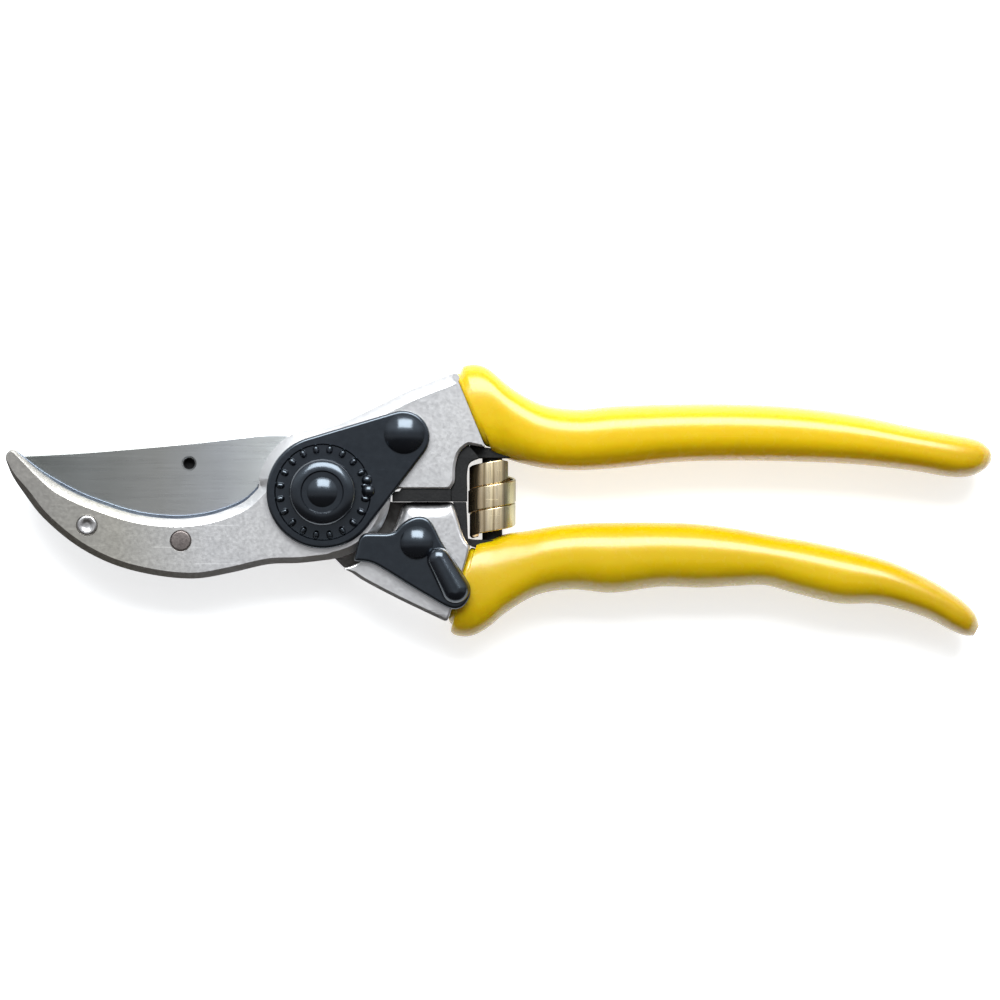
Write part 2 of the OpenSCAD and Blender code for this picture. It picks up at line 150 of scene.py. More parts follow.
LOWER_STATIONS = [
    ((27, -28.3), (32.1, -11.7), 6.6), ((28.2, -31.0), (34.2, -10.6), 6.6),
    ((31.8, -31.5), (37, -9.9), 6.6), ((35.6, -29.8), (40.2, -9), 6.8), ((40.3, -26), (44.4, -8.4), 7.2),
    ((46.8, -22.4), (50.1, -7.4), 7.8), ((54.4, -21.3), (56.6, -6.8), 8.2),
    ((63.1, -22), (64.1, -6.6), 8.5), ((73.6, -20.7), (72.8, -6.6), 8.5),
    ((82.6, -20.9), (81.5, -6.9), 8.5), ((90.2, -20.5), (90.4, -8), 8.5), ((96.6, -20.4), (98, -9.4), 8.4),
    ((103.4, -22.2), (105.8, -10.7), 8.3), ((112.4, -24.3), (114.6, -12.6), 8.2),
    ((120.4, -24.4), (122.8, -14.8), 8), ((126.6, -25.7), (129.2, -17.4), 7.6),
    ((132.4, -27.7), (134.9, -20.4), 7), ((137, -30.1), (139.5, -23.5), 6),
    ((140, -31.3), (142.3, -26.4), 4.4), ((142, -31.4), (143.3, -29), 1.6)]
SQUARENESS = 2.4


# ---- Curves in the plane ----

def spline(points, steps=6):
    """A smooth curve through the points, of any number of values each."""
    out = []
    last = len(points) - 1
    for i in range(last):
        quad = [points[j] for j in (max(i - 1, 0), i, i + 1, min(i + 2, last))]
        for s in range(steps):
            t = s / steps
            out.append(tuple(
                0.5 * (2 * b + (c - a) * t + (2 * a - 5 * b + 4 * c - d) * t * t
                       + (3 * b - a - 3 * c + d) * t ** 3)
                for a, b, c, d in zip(*quad)))
    return out + [tuple(points[last])]


def arc(radius, start, end, steps=24, centre=(0, 0)):
    angles = [math.radians(start + (end - start) * i / steps) for i in range(steps + 1)]
    return [(centre[0] + radius * math.cos(a), centre[1] + radius * math.sin(a)) for a in angles]


def angle_of(point):
    return math.degrees(math.atan2(point[1], point[0]))


def back(points):
    return list(reversed(points))


def trace(parts, spacing=0.5, soften=3):
    """A closed outline, evenly spaced, from stretches of (points, edge size). Returns points and sizes."""
    points, sizes = [], []
    for stretch, size in parts:
        for p in stretch:
            if points and (Vector(p) - points[-1]).length < 0.02:
                continue
            points.append(Vector(p))
            sizes.append(size)
    points.append(points[0])
    sizes.append(sizes[0])
    even, even_sizes, carry = [], [], 0.0
    for i in range(len(points) - 1):
        a, b = points[i], points[i + 1]
        span = (b - a).length
        while carry < span:
            f = carry / span
            even.append(a.lerp(b, f))
            even_sizes.append(sizes[i] + (sizes[i + 1] - sizes[i]) * f)
            carry += spacing
        carry -= span
    if sum(a.cross(b) for a, b in zip(even, even[1:] + even[:1])) < 0:
        even, even_sizes = even[::-1], even_sizes[::-1]
    n = len(even)
    for _ in range(soften):
        even = [(even[i - 1] + 2 * even[i] + even[(i + 1) % n]) / 4 for i in range(n)]
    for _ in range(6 * soften):
        even_sizes = [(even_sizes[i - 1] + even_sizes[i] + even_sizes[(i + 1) % n]) / 3 for i in range(n)]
    return even, even_sizes


def inward(loop, distances, stride=0.2):
    """The loop moved towards its inside in small strides, so that tight corners close up smoothly."""
    n = len(loop)
    moved = [Vector(p) for p in loop]
    strides = max(1, math.ceil(max(distances) / stride))
    for _ in range(strides):
        ahead = [(moved[(i + 1) % n] - moved[i - 1]) for i in range(n)]
        ahead = [a.normalized() if a.length > 1e-6 else Vector((0, 0)) for a in ahead]
        moved = [p + Vector((-a.y, a.x)) * (d / strides) for p, a, d in zip(moved, ahead, distances)]
        middles = [(moved[i - 1] + moved[(i + 1) % n]) / 2 - moved[i] for i in range(n)]
        moved = [p + a * (0.5 * m.dot(a)) for p, a, m in zip(moved, ahead, middles)]
        for i in range(n):
            j = (i + 1) % n
            if (moved[j] - moved[i]).dot(loop[j] - loop[i]) < 0:
                moved[i] = moved[j] = (moved[i] + moved[j]) / 2
    return moved


def by_side(loop, away, toward):
    """A value for each point: `away` where the edge faces -Y, `toward` where it faces +Y."""
    values = []
    for i in range(len(loop)):
        ahead = (loop[(i + 1) % len(loop)] - loop[i - 1]).normalized()
        values.append(away + (toward - away) * (0.5 - 0.5 * ahead.x))
    return values


def times(values, others):
    return [a * b for a, b in zip(values, others)]


# ---- Meshes ----

def mesh_object(name, verts, faces, sharp=40):
    """A closed mesh object in metres, smooth but for edges sharper than the angle given."""
    mesh = bpy.data.meshes.new(name)
    mesh.from_pydata([Vector(v) * MM for v in verts], [], faces)
    bm = bmesh.new()
    bm.from_mesh(mesh)
    bmesh.ops.remove_doubles(bm, verts=bm.verts, dist=2e-6)
    bmesh.ops.dissolve_degenerate(bm, edges=bm.edges, dist=1e-6)
    bmesh.ops.recalc_face_normals(bm, faces=bm.faces)
    bm.to_mesh(mesh)
    bm.free()
    mesh.shade_smooth()
    mesh.set_sharp_from_angle(angle=math.radians(sharp))
    obj = bpy.data.objects.new(name, mesh)
    bpy.context.scene.collection.objects.link(obj)
    shading = obj.modifiers.new("even_shading", "WEIGHTED_NORMAL")
    shading.keep_sharp = True
    return obj


class Solid:
    """Vertices and faces of one piece, gathered from simple closed forms."""

    def __init__(self):
        self.verts = []
        self.faces = []

    def rings(self, rings, closed=True, caps=True):
        start = len(self.verts)
        n = len(rings[0])
        for ring in rings:
            self.verts += [tuple(p) for p in ring]
        for i in range(len(rings) - 1):
            for k in range(n if closed else n - 1):
                a, b = start + i * n + k, start + i * n + (k + 1) % n
                self.faces.append((a, b, b + n, a + n))
        if caps:
            self.faces.append(tuple(range(start, start + n)))
            self.faces.append(tuple(range(start + len(rings) * n - n, start + len(rings) * n)))
        return start

    def cap(self, loops):
        """A flat face bounded by the first loop, with the other loops as holes in it."""
        start = len(self.verts)
        for loop in loops:
            self.verts += [tuple(p) for p in loop]
        flat = geometry.tessellate_polygon([[Vector(p) for p in loop] for loop in loops])
        self.faces += [tuple(start + i for i in tri) for tri in flat]

    def plate(self, outline, low, high, top=None, foot=None, foot_height=None, holes=(), steps=6,
              drop=None, crisp=None):
        """A plate with a rounded upper edge, a rounded or ground lower edge, and round holes.

        top and foot are edge widths for each point of the outline, and drop is the upper rounding's
        height where it differs from its width. foot_height makes the lower edge a flat bevel of that
        height. crisp, for each point, goes from a round upper edge at 1 to a flat bevel at 2. A hole
        is (centre, radius, countersink at the top, at the foot).
        """
        n = len(outline)
        top = top or [0.15] * n
        foot = foot or [0.15] * n
        rings = []
        if foot_height:
            inner = outline
            for _ in range(8):
                inner = inward(inner, [f / 8 for f in foot])
            rings.append([(p.x, p.y, low) for p in inner])
            rings.append([(p.x, p.y, low + foot_height) for p in outline])
        else:
            rings = self._rounded(outline, foot, foot, low, 1, steps, [1] * n)[::-1]
        rings += self._rounded(outline, top, drop or top, high, -1, steps, crisp or [1] * n)
        self.rings(rings, caps=False)
        around = [(math.cos(a), math.sin(a)) for a in (2 * math.pi * k / 40 for k in range(40))]
        top_holes, foot_holes = [], []
        for centre, radius, sink_top, sink_foot in holes:
            levels = [(radius + sink_foot, low), (radius, low + sink_foot), (radius, high - sink_top),
                      (radius + sink_top, high)]
            wall = [[(centre[0] + r * c, centre[1] + r * s, z) for c, s in around] for r, z in levels]
            self.rings(wall, caps=False)
            foot_holes.append(wall[0])
            top_holes.append(wall[-1])
        self.cap([rings[0]] + foot_holes)
        self.cap([rings[-1]] + top_holes)

    @staticmethod
    def _rounded(outline, widths, heights, level, side, steps, crisp):
        """Rings over a rounded edge, from the outline to the flat face at the level."""
        rings, loop, done = [], outline, [0.0] * len(outline)
        for k in range(steps + 1):
            a = math.pi / 2 * k / steps
            reach = [1 - max(0.0, math.cos(a)) ** c for c in crisp]
            loop = inward(loop, [w * (r - d) for w, r, d in zip(widths, reach, done)])
            done = reach
            rings.append([(p.x, p.y, level + side * h * (1 - math.sin(a) ** c))
                          for p, h, c in zip(loop, heights, crisp)])
        return rings

    def lathe(self, profile, centre=(0, 0), steps=96):
        """A turned form about the vertical, from (radius, height) pairs that start and end on the axis."""
        inner = [p for p in profile if p[0] > 1e-6]
        around = [2 * math.pi * k / steps for k in range(steps)]
        start = self.rings([[(centre[0] + r * math.cos(a), centre[1] + r * math.sin(a), z) for a in around]
                            for r, z in inner], caps=False)
        for (r, z), row in ((profile[0], 0), (profile[-1], len(inner) - 1)):
            base = start + row * steps
            if r > 1e-6:
                self.faces.append(tuple(range(base, base + steps)))
                continue
            self.verts.append((centre[0], centre[1], z))
            tip = len(self.verts) - 1
            self.faces += [(base + k, base + (k + 1) % steps, tip) for k in range(steps)]

    def build(self, name, sharp=40):
        return mesh_object(name, self.verts, self.faces, sharp)


def eased(profile, size, steps=4):
    """The profile with its inner corners rounded off by about the size given."""
    out = [profile[0]]
    for before, here, after in zip(profile, profile[1:], profile[2:]):
        a, h, b = Vector(before), Vector(here), Vector(after)
        reach = min(size, (a - h).length * 0.45, (b - h).length * 0.45)
        p, q = h + (a - h).normalized() * reach, h + (b - h).normalized() * reach
        for k in range(steps + 1):
            t = k / steps
            out.append(tuple(p * (1 - t) ** 2 + h * 2 * t * (1 - t) + q * t * t))
    return out + [profile[-1]]


def dome_profile(radius, foot, height, rim=0.3, steps=10):
    """A low dome with a small upright rim, from the axis at its foot to the axis at its top."""
    rise = height - rim
    ball = (radius * radius + rise * rise) / (2 * rise)
    spread = math.asin(min(1, radius / ball))
    cap = [(ball * math.sin(spread * (1 - k / steps)),
            foot + rim + ball * math.cos(spread * (1 - k / steps)) - ball + rise) for k in range(steps + 1)]
    return [(0, foot), (radius, foot)] + cap[:-1] + [(0, foot + height)]


# ---- Materials ----

def node_maker(nodes, links):
    def make(kind, inputs=(), **settings):
        node = nodes.new(kind)
        for key, value in settings.items():
            setattr(node, key, value)
        for key, value in dict(inputs).items():
            if isinstance(value, bpy.types.NodeSocket):
                links.new(value, node.inputs[key])
            else:
                node.inputs[key].default_value = value
        return node
    return make


def colour_ramp(make, share, stops):
    """A colour that changes with a share from 0 to 1, from (position, colour) pairs in order."""
    ramp = make("ShaderNodeValToRGB", {"Fac": share})
    while len(ramp.color_ramp.elements) < len(stops):
        ramp.color_ramp.elements.new(0.5)
    for element, (position, colour) in zip(ramp.color_ramp.elements, stops):
        element.position = position
        element.color = (*colour, 1)
    return ramp.outputs["Color"]


def painted_light_along(make, spot, along):
    """Painted light and shade: a colour that changes along X, from (x, tint) pairs in order."""
    first, last = along[0][0], along[-1][0]
    x = make("ShaderNodeSeparateXYZ", {"Vector": spot}).outputs["X"]
    share = make("ShaderNodeMapRange", {"Value": x, "From Min": first * MM, "From Max": last * MM})
    stops = [((at - first) / (last - first), tint) for at, tint in along]
    return colour_ramp(make, share.outputs["Result"], stops)


def surface(name, colour, second, rough, metallic=0.0, grain=(900, 900, 900), grain_bump=0.02,
            patch=60, scratches=0.0, pits=0.0, fixed=None, along=None):
    """A node material: two tones in soft patches, a fine grain in roughness and bump, and wear marks.

    along, a list of (x, tint), paints light and shade along the shears as a tint.
    """
    material = bpy.data.materials.new(name)
    material.use_nodes = True
    nodes, links = material.node_tree.nodes, material.node_tree.links
    make = node_maker(nodes, links)
    shader = nodes["Principled BSDF"]
    shader.inputs["Metallic"].default_value = metallic
    for key, value in (fixed or {}).items():
        shader.inputs[key].default_value = value
    spot = make("ShaderNodeTexCoord").outputs["Object"]
    patches = make("ShaderNodeTexNoise", {"Vector": spot, "Scale": patch, "Detail": 5, "Roughness": 0.6})
    spread = make("ShaderNodeMapRange", {"Value": patches.outputs["Fac"], "From Min": 0.35, "From Max": 0.65})
    tone = make("ShaderNodeMix", {"Factor": spread.outputs["Result"], "A": (*colour, 1), "B": (*second, 1)},
                data_type="RGBA")
    stretch = make("ShaderNodeMapping", {"Vector": spot, "Scale": grain})
    fine = make("ShaderNodeTexNoise", {"Vector": stretch.outputs["Vector"], "Scale": 1, "Detail": 3})
    rough_now = make("ShaderNodeMapRange", {"Value": fine.outputs["Fac"], "From Min": 0.3, "From Max": 0.7,
                                            "To Min": rough[0], "To Max": rough[1]}).outputs["Result"]
    height = fine.outputs["Fac"]
    colour_now = tone.outputs["Result"]
    # Painted light and shade: the tint along X darkens or lightens the colour where light falls less or more
    if along:
        tint = make("ShaderNodeMix", {"Factor": 1.0, "A": colour_now, "B": painted_light_along(make, spot, along)},
                    data_type="RGBA", blend_type="MULTIPLY")
        colour_now = tint.outputs["Result"]
    if scratches:
        turn = make("ShaderNodeMapping", {"Vector": spot, "Scale": (70, 2600, 900), "Rotation": (0, 0, 0.5)})
        lines = make("ShaderNodeTexNoise", {"Vector": turn.outputs["Vector"], "Scale": 1, "Detail": 2})
        mark = make("ShaderNodeMapRange", {"Value": lines.outputs["Fac"], "From Min": 0.66, "From Max": 0.72,
                                           "To Max": scratches})
        rough_now = make("ShaderNodeMath", {0: rough_now, 1: mark.outputs["Result"]},
                         operation="ADD").outputs["Value"]
    if pits:
        cells = make("ShaderNodeTexVoronoi", {"Vector": spot, "Scale": 700})
        pit = make("ShaderNodeMapRange", {"Value": cells.outputs["Distance"], "From Min": 0.0,
                                          "From Max": 0.35, "To Min": -pits, "To Max": 0.0})
        height = make("ShaderNodeMath", {0: height, 1: pit.outputs["Result"]},
                      operation="ADD").outputs["Value"]
    bump = make("ShaderNodeBump", {"Height": height, "Strength": 1.0, "Distance": grain_bump * MM})
    links.new(colour_now, shader.inputs["Base Color"])
    links.new(rough_now, shader.inputs["Roughness"])
    links.new(bump.outputs["Normal"], shader.inputs["Normal"])
    return material


# Painted shade: the forging's tint along X darkens the hook towards its beak
ALUMINIUM = surface("forged_aluminium", (0.76, 0.75, 0.745), (0.69, 0.685, 0.69), (0.30, 0.38), 1.0,
                    grain=(1500, 1500, 1500), grain_bump=0.012, patch=45, scratches=0.06, pits=0.3,
                    along=[(-68, (0.55, 0.53, 0.49)), (-45, (0.68, 0.66, 0.59)), (-25, (1, 1, 1)),
                           (30, (1, 1, 1))])
# Painted shade: the lower arm under the blade is coloured near black for the shade deep in the gap between
# the heads
PAINTED_SHADE_ALUMINIUM = surface("painted_shade_aluminium", (0.09, 0.085, 0.08), (0.16, 0.155, 0.15), (0.35, 0.55), 1.0,
                  grain=(1500, 1500, 1500), grain_bump=0.03, patch=200)
# Painted reflection and shade: the blade's tint along X runs from dark at the tip to light near the pivot
BLADE = surface("blade_steel", (0.74, 0.74, 0.73), (0.82, 0.82, 0.82), (0.27, 0.30), 1.0,
                grain=(90, 3200, 900), grain_bump=0.004, patch=70,
                along=[(-66, (0.22, 0.23, 0.22)), (-52, (0.37, 0.38, 0.37)), (-36, (0.50, 0.50, 0.48)),
                       (-22, (0.70, 0.72, 0.74)), (-14, (0.97, 1.0, 1.0))])
# Painted shadow: the counter-blade's dark blue tone stands for the shade along the hook's edge
COUNTER = surface("counter_steel", (0.12, 0.14, 0.18), (0.17, 0.20, 0.24), (0.24, 0.36), 1.0,
                  grain=(120, 2600, 900), grain_bump=0.012, patch=60, scratches=0.1)
BRIGHT = surface("bright_steel", (0.52, 0.51, 0.50), (0.40, 0.39, 0.39), (0.28, 0.42), 1.0,
                 grain=(2400, 2400, 2400), grain_bump=0.02, patch=300)
DARK = surface("dark_steel", (0.14, 0.12, 0.115), (0.20, 0.175, 0.165), (0.38, 0.55), 1.0,
               grain=(2400, 2400, 2400), grain_bump=0.02, patch=300)
BLACK = surface("black_coating", (0.002, 0.0025, 0.004), (0.004, 0.0045, 0.006), (0.17, 0.25), 0.0,
                grain=(700, 700, 700), grain_bump=0.01, patch=160, scratches=0.05,
                fixed={"Coat Weight": 0.4, "Coat Roughness": 0.14, "Specular IOR Level": 0.75,
                       "Specular Tint": (0.7, 0.85, 1.0, 1.0)})
RUBBER = surface("black_rubber", (0.005, 0.005, 0.0055), (0.009, 0.009, 0.009), (0.6, 0.75), 0.0,
                 grain=(1800, 1800, 1800), grain_bump=0.05, patch=200,
                 fixed={"Specular IOR Level": 0.25})
GRIP_SHADE = [(28, (0.92, 0.90, 0.8)), (50, (1, 1, 1)), (110, (1, 1, 1)), (142, (0.80, 0.76, 0.6))]
GRIP_GLOSS = {"Coat Weight": 0.7, "Coat Roughness": 0.24, "Specular IOR Level": 0.2, "Subsurface Weight": 0.6,
              "Subsurface Radius": (1.0, 0.45, 0.05), "Subsurface Scale": 0.004}


def grip_vinyl(name, colour, second):
    return surface(name, colour, second, (0.22, 0.30), grain=(420, 420, 420), grain_bump=0.03, patch=35,
                   scratches=0.06, fixed=GRIP_GLOSS, along=GRIP_SHADE)


YELLOW = grip_vinyl("yellow_grip", (0.62, 0.42, 0.002), (0.59, 0.39, 0.001))
# Painted shade: the lower grip gets a darker, deeper copy of the upper grip's yellow
PAINTED_SHADE_YELLOW = grip_vinyl("yellow_grip_painted_shade", (0.53, 0.36, 0.001), (0.50, 0.335, 0.001))
# Gold plating, with painted reflection and shade: the tint along X gives dark sides, bright middles and a
# greenish reflected band
PLATED = surface("plated_spring", (0.98, 0.84, 0.60), (0.90, 0.74, 0.48), (0.22, 0.38), 1.0,
                 grain=(2600, 140, 2600), grain_bump=0.015, patch=120, scratches=0.1,
                 along=[(31, (0.5, 0.46, 0.42)), (33.4, (0.75, 0.68, 0.6)), (34.6, (0.95, 0.9, 0.85)),
                        (35.1, (0.4, 0.36, 0.3)), (35.6, (1, 1, 1)), (36.7, (1, 1, 0.95)),
                        (37.1, (0.5, 0.45, 0.38)), (37.6, (1, 1, 1)), (38.8, (1, 0.98, 0.92)),
                        (39.4, (0.35, 0.34, 0.32)), (40.2, (0.62, 0.70, 0.66)), (41.3, (0.60, 0.68, 0.66)),
                        (42.2, (0.25, 0.27, 0.28))])


def place(obj, material, body, nodes, sides=None):
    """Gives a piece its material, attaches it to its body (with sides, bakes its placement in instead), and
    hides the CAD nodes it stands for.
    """
    obj.data.materials.clear()
    obj.data.materials.append(material)
    if sides:
        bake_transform(obj)
    else:
        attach(obj, body)
    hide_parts(*nodes)
    return obj


# ---- Frames ----

def carrier_edge():
    """The hook's front edge stands a little back from the counter-blade's cutting edge."""
    return [(x, y - 0.8 * min(1, max(0, i - 1) / 3)) for i, (x, y) in enumerate(CUTTING_EDGE)]


def upper_neck_right():
    return back(spline(UPPER_RECESS))


def make_upper_frame():
    solid = Solid()
    low_end = angle_of(HOOK_LOWER[-1])
    head_start = angle_of(UPPER_NECK_TOP[0])
    head_end = angle_of(CUTTING_EDGE[-1])
    outline, sizes = trace([
        (spline(HOOK_LOWER[:3]), 1.2),
        (spline(HOOK_LOWER[2:]), 1.3),
        (arc(UPPER_HEAD_R + 0.4, low_end, 0, 30), 1.6),
        ([(UPPER_CLEAR_R, 0.8), (22, 0.8), (27.2, 0.8)], 0.3),
        (upper_neck_right(), 0.6),
        ([(35.3, 9.8)], 0.4),
        ([(28.9, 25.4)], 0.4),
        (back(spline(UPPER_NECK_TOP)), 2.4),
        (arc(UPPER_HEAD_R, head_start + 4, head_end - 3, 20), 2.0),
        (back(spline(carrier_edge())), 1.8)], spacing=0.3, soften=1)
    rivets = [(FRONT_RIVET, RIVET_R + 0.05, 0.15, 0.1), (REAR_RIVET, RIVET_R + 0.05, 0.15, 0.1)]
    beak = Vector(HOOK_LOWER[0])
    sizes = [min(s, 0.15 + 0.13 * (p - beak).length) for p, s in zip(outline, sizes)]
    solid.plate(outline, CARRIER, FRONT, top=sizes, drop=times(sizes, by_side(outline, 0.45, 0.75)),
                crisp=[1.9] * len(outline), steps=8,
                holes=rivets + [((0, 0), BOLT_R, 0.1, 0.1)])
    head = [Vector(p) for p in arc(UPPER_HEAD_R - 0.05, 0, 360, 120)[:-1]]
    solid.plate(head, SHEAR, FRONT - 2.6, holes=[((0, 0), BOLT_R, 0.1, 0.1)])
    first = angle_of((UPPER_CLEAR_R, 0.8))
    block, block_sizes = trace([
        ([(UPPER_CLEAR_R, 0.85), (22, 0.85), (27.2, 0.85)], 0.5),
        (upper_neck_right(), 0.6),
        ([(35.3, 9.8)], 0.4),
        ([(28.9, 25.3)], 0.4),
        (back(spline(UPPER_NECK_TOP[3:])), 3.0),
        (arc(UPPER_CLEAR_R, 71, first, 24), 0.6)])
    block = inward(block, [0.06] * len(block))
    solid.plate(block, REAR, FRONT - 2.2, foot=block_sizes)
    forging = solid.build("upper_frame_forging", sharp=15)
    return place(forging, ALUMINIUM, UPPER, ["upper_frame"])


def make_lower_frame():
    solid = Solid()
    corner = LOWER_RECESS[0]
    start = angle_of(LOWER_NECK_LOW[-1])
    top_corner_x = math.sqrt(LOWER_CLEAR_R ** 2 - corner[1] ** 2)
    low_edge = back(spline(LOWER_NECK_LOW))
    grip_face = [(27.3, -27.6), (31.9, -12.4)]
    recess = back(spline(LOWER_RECESS))
    outline, sizes = trace([
        (low_edge, 0.7),
        (grip_face, 0.4),
        (recess, 0.9),
        ([(27.6, corner[1]), (top_corner_x + 1.3, corner[1])], 3.4),
        (arc(LOWER_CLEAR_R, -11, -32, 10), 2.2),
        (arc(LOWER_CLEAR_R, -32, start, 20), 0.4)])
    tip = Vector(LOWER_NECK_LOW[-1])
    sizes = [min(s, 0.1 + 0.22 * (p - tip).length) for p, s in zip(outline, sizes)]
    solid.plate(outline, REAR, FRONT, top=sizes, foot=[min(s, 2.6) for s in sizes],
                drop=times(sizes, by_side(outline, 0.45, 1.25)), crisp=by_side(outline, 1.9, 1.0), steps=8)
    place(solid.build("lower_frame_neck"), ALUMINIUM, LOWER, ["lower_frame"])
    arm = Solid()
    base, base_sizes = trace([
        (arc(LOWER_HEAD_R, -8, 276, 120), 0.5),
        (low_edge, 1.0),
        (grip_face, 0.4),
        (recess, 1.0),
        ([(27.6, corner[1]), (15, corner[1])], 1.0)])
    base = inward(base, [0.06] * len(base))
    arm.plate(base, REAR + 0.02, LOWER_TOP - 0.02, foot=base_sizes, top=[0.3] * len(base),
              holes=[((0, 0), BOLT_R + RUNNING, 0.1, 0.3)])
    # The arm's near-black colour is painted shade
    place(arm.build("lower_frame_arm"), PAINTED_SHADE_ALUMINIUM, LOWER, ["lower_frame"])


# ---- Blades and rivets ----

def make_counter_blade():
    solid = Solid()
    outline, _ = trace([(spline(COUNTER_REAR), 0.2), (back(spline(CUTTING_EDGE)), 0.2)], soften=1)
    clear = UPPER_HEAD_R + 0.05
    outline = [p if p.length > clear else p.normalized() * clear for p in outline]
    solid.plate(outline, SHEAR, CARRIER, top=[0.15] * len(outline), foot=[0.06] * len(outline))
    return place(solid.build("counter_blade_plate"), COUNTER, UPPER, ["counter_blade"])


def make_cutting_blade():
    """The blade, ground on its hidden side, with a blind hole near its spine lined in black as painted shade.
    """
    solid = Solid()
    start, end = angle_of(SPINE[-1]), angle_of(GROUND_EDGE[-1])
    outline, grind = trace([
        (spline(GROUND_EDGE, 8), BLADE_BEVEL),
        (arc(BLADE_TANG_R, end, start, 90), 0.3),
        (back(spline(SPINE, 8)), 0.3)], soften=1)
    tip = Vector(SPINE[0])
    grind = [g * min(1, 0.05 + (p - tip).length / 14) for g, p in zip(grind, outline)]
    solid.plate(outline, LOWER_TOP, BLADE_TOP, top=[0.15] * len(outline), foot=grind,
                foot_height=BLADE_TOP - LOWER_TOP - 0.3,
                holes=[(BLADE_HOLE, BLADE_HOLE_R + 0.1, 0.35, 0.1), ((0, 0), BOLT_R + RUNNING, 0.1, 0.1)])
    place(solid.build("cutting_blade_ground"), BLADE, LOWER, ["cutting_blade"])
    floor = BLADE_TOP - BLADE_HOLE_DEPTH
    well = [(0, LOWER_TOP), (BLADE_HOLE_R + 0.1, LOWER_TOP), (BLADE_HOLE_R + 0.1, BLADE_TOP - 0.4),
            (BLADE_HOLE_R, BLADE_TOP - 0.4), (BLADE_HOLE_R - 0.1, floor), (0, floor)]
    # Painted shade: the hole's black rubber lining makes it dark inside
    lining = Solid()
    lining.lathe(well, BLADE_HOLE, 40)
    place(lining.build("blade_hole_painted_shade"), RUBBER, LOWER, ["cutting_blade"])


def make_rivets():
    dimple = [(0, CARRIER), (RIVET_R, CARRIER), (RIVET_R, FRONT - 0.05), (RIVET_R - 0.35, FRONT + 0.16),
              (RIVET_R - 0.9, FRONT + 0.12), (0.7, FRONT - 0.12), (0, FRONT - 0.15)]
    front = Solid()
    front.lathe(eased(dimple, 0.2), FRONT_RIVET, 64)
    place(front.build("front_rivet_head"), BRIGHT, UPPER, ["front_rivet"])
    flat = [(0, CARRIER), (RIVET_R, CARRIER), (RIVET_R, FRONT - 0.12), (RIVET_R - 0.25, FRONT + 0.02),
            (0, FRONT + 0.05)]
    rear = Solid()
    rear.lathe(eased(flat, 0.12), REAR_RIVET, 64)
    place(rear.build("rear_rivet_head"), DARK, UPPER, ["rear_rivet"])


# ---- Pivot, nut and segment ----

def make_bolt():
    solid = Solid()
    shank_top = BOSS_TOP - 0.6
    profile = [(0, 0), (BOLT_HEAD_R - 0.5, 0), (BOLT_HEAD_R, 0.5), (BOLT_HEAD_R, REAR - 0.05),
               (BOLT_R - 0.02, REAR - 0.05), (BOLT_R - 0.02, shank_top - 0.6), (4.1, shank_top - 0.6)]
    solid.lathe(eased(profile, 0.3) + dome_profile(4.0, shank_top - 0.6, 1.75, 0.1, 14)[2:])
    return place(solid.build("pivot_bolt_turned"), BLACK, UPPER, ["pivot_bolt"])


def make_nut():
    """The nut: a dished disc with raised teeth round its rim, and a round-shouldered boss."""
    solid = Solid()
    dish = SEGMENT_TOP - 0.5
    disc = [(BOLT_R, FRONT), (NUT_R + 0.1, FRONT), (NUT_R + 0.1, dish), (BOLT_R, dish)]
    solid.lathe([(BOLT_R, FRONT)] + eased(disc, 0.2)[1:-1] + [(BOLT_R, dish)])
    for k in range(NUT_TEETH):
        tooth(solid, math.radians(360 * (k + 0.5) / NUT_TEETH), dish - 0.2)
    wide, tall = BOSS_R - BOLT_R + 0.3, 1.5
    profile = [(BOLT_R, FRONT + 1), (BOSS_R, FRONT + 1), (BOSS_R, BOSS_TOP - tall)]
    profile += [(BOSS_R - wide * (1 - math.cos(a)), BOSS_TOP - tall + tall * math.sin(a))
                for a in (math.pi / 2 * k / 14 for k in range(1, 15))]
    profile += [(BOLT_R - 0.4, BOSS_TOP - 0.15), (BOLT_R - 0.6, BOSS_TOP - 0.5)]
    solid.lathe(profile)
    return place(solid.build("pivot_nut_toothed"), BLACK, UPPER, ["pivot_nut"])


def tooth(solid, heading, foot, reach=(9.1, 9.55), radius=0.74, height=1.15):
    """One raised tooth, a rounded lozenge that points at the axis."""
    along = Vector((math.cos(heading), math.sin(heading)))
    rings = []
    for i in range(6):
        lift = math.radians(82 * i / 5)
        r, z = radius * math.cos(lift) ** 0.8, foot + height * math.sin(lift)
        ring = []
        for k in range(20):
            a = 2 * math.pi * k / 20
            centre = along * (reach[1] if math.cos(a) > 0 else reach[0])
            ring.append((centre.x + r * math.cos(a + heading), centre.y + r * math.sin(a + heading), z))
        rings.append(ring)
    solid.rings(rings)


def teardrop(big_r, end, end_r, spacing=0.4):
    """Two round ends joined by the straight lines that touch them both."""
    along = math.hypot(*end)
    lean = math.degrees(math.acos((big_r - end_r) / along))
    heading = angle_of(end)
    return trace([
        (arc(big_r, heading + lean, heading + 360 - lean, 110), 1.0),
        (arc(end_r, heading - lean, heading + lean, 40, end), 1.0)], spacing, soften=1)


def make_segment():
    solid = Solid()
    outline, _ = teardrop(SEGMENT_R, SEGMENT_END, SEGMENT_END_R)
    solid.plate(outline, FRONT, SEGMENT_TOP, top=[0.7] * len(outline),
                holes=[((0, 0), NUT_R + 0.12, 0.15, 0.1)])
    for x, y, r in ((9.6, 2.6, 1.2), (9.9, 0.3, 1.5)):
        solid.lathe(dome_profile(r, SEGMENT_TOP - 0.4, 1.3, 0.3), (x, y), 36)
    return place(solid.build("locking_segment"), BLACK, UPPER, ["segment_plate"])


def make_segment_screw():
    solid = Solid()
    solid.lathe(dome_profile(4.4, SEGMENT_TOP - 0.05, 2.05, 0.35, 14), SCREW_AT, 72)
    return place(solid.build("segment_screw_head"), BLACK, UPPER, ["segment_screw"])


# ---- Catch ----

